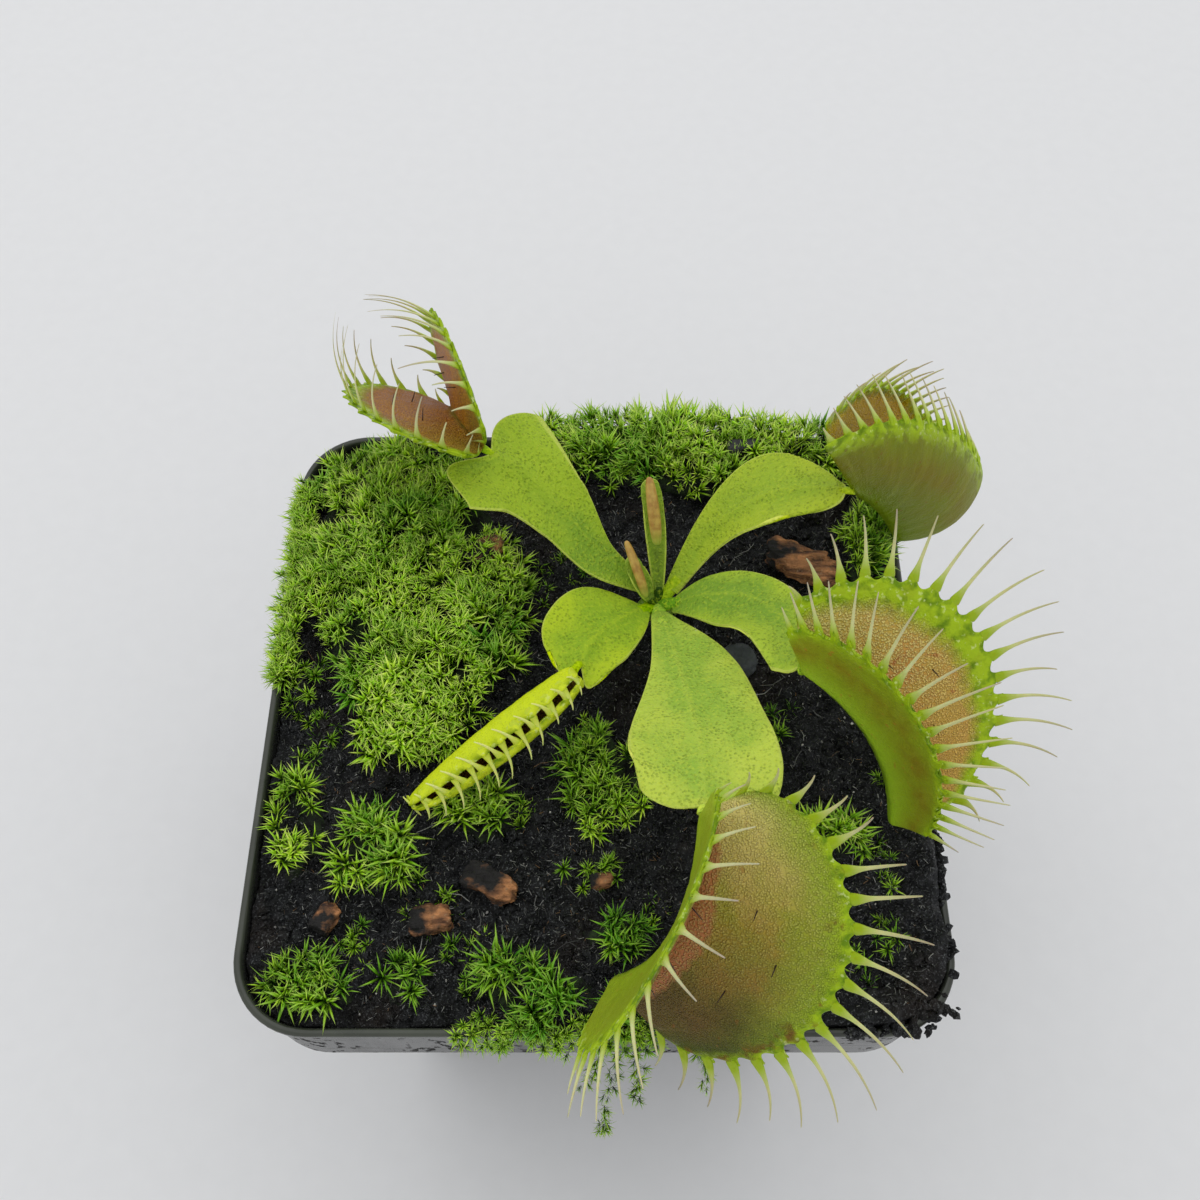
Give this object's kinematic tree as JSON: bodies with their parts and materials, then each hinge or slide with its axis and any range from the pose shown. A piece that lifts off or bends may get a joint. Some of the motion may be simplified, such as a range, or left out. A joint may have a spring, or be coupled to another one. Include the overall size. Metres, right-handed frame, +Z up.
{
  "type": "potted venus flytrap",
  "caption": "Venus flytrap rosette with toothed snap traps, growing in dark peat with moss and bark in a small square black nursery pot with a skirted rim.",
  "frame": {"origin": "middle of the pot's flat base, on the surface it stands on", "axes": "+Z up out of the pot; +Y towards the back of the pot, +X to its right, square to the pot's sides, as seen from the picture's side"},
  "size_m": [0.1012, 0.1112, 0.128],
  "materials": {
    "pot_plastic": "satin black moulded plastic with light dust",
    "peat": "wet dark peat, crumbly, with small light grit",
    "rhizome": "waxy cream white",
    "petiole": "semi-gloss yellow-green leaf",
    "trap": "semi-gloss olive green outside, red granular inside, lime margin",
    "young_trap": "semi-gloss bright yellow-green",
    "bud": "satin tan",
    "moss": "dense soft star-shaped shoots, bright green tips",
    "bark": "rough damp reddish bark",
    "charcoal": "matt black, broken faces",
    "stone": "grey, fine-grained, damp"
  },
  "bodies": {
    "root": {"pot": "pot_plastic", "growing_mix": "peat", "rhizome": "rhizome", "leaf_back_left": "petiole", "leaf_back_right": "petiole", "leaf_right": "petiole", "leaf_front": "petiole", "leaf_left": "petiole", "leaf_young_tall": "petiole", "leaf_young_short": "petiole", "trap_back_left": "trap", "trap_back_right": "trap", "trap_right": "trap", "trap_front": "trap", "trap_left": "young_trap", "trap_young_tall": "bud", "trap_young_short": "bud", "moss_left": "moss", "moss_left_edge": "moss", "moss_left_inner": "moss", "moss_left_tuft": "moss", "moss_back": "moss", "moss_back_right": "moss", "moss_front_left": "moss", "moss_front_inner": "moss", "moss_front": "moss", "moss_centre": "moss", "moss_centre_tuft": "moss", "moss_right_tuft": "moss", "bark_large": "bark", "bark_back": "bark", "bark_middle": "bark", "bark_front": "bark", "bark_left": "bark", "bark_small": "bark", "charcoal": "charcoal", "stone": "stone"}
  },
  "joints": []
}
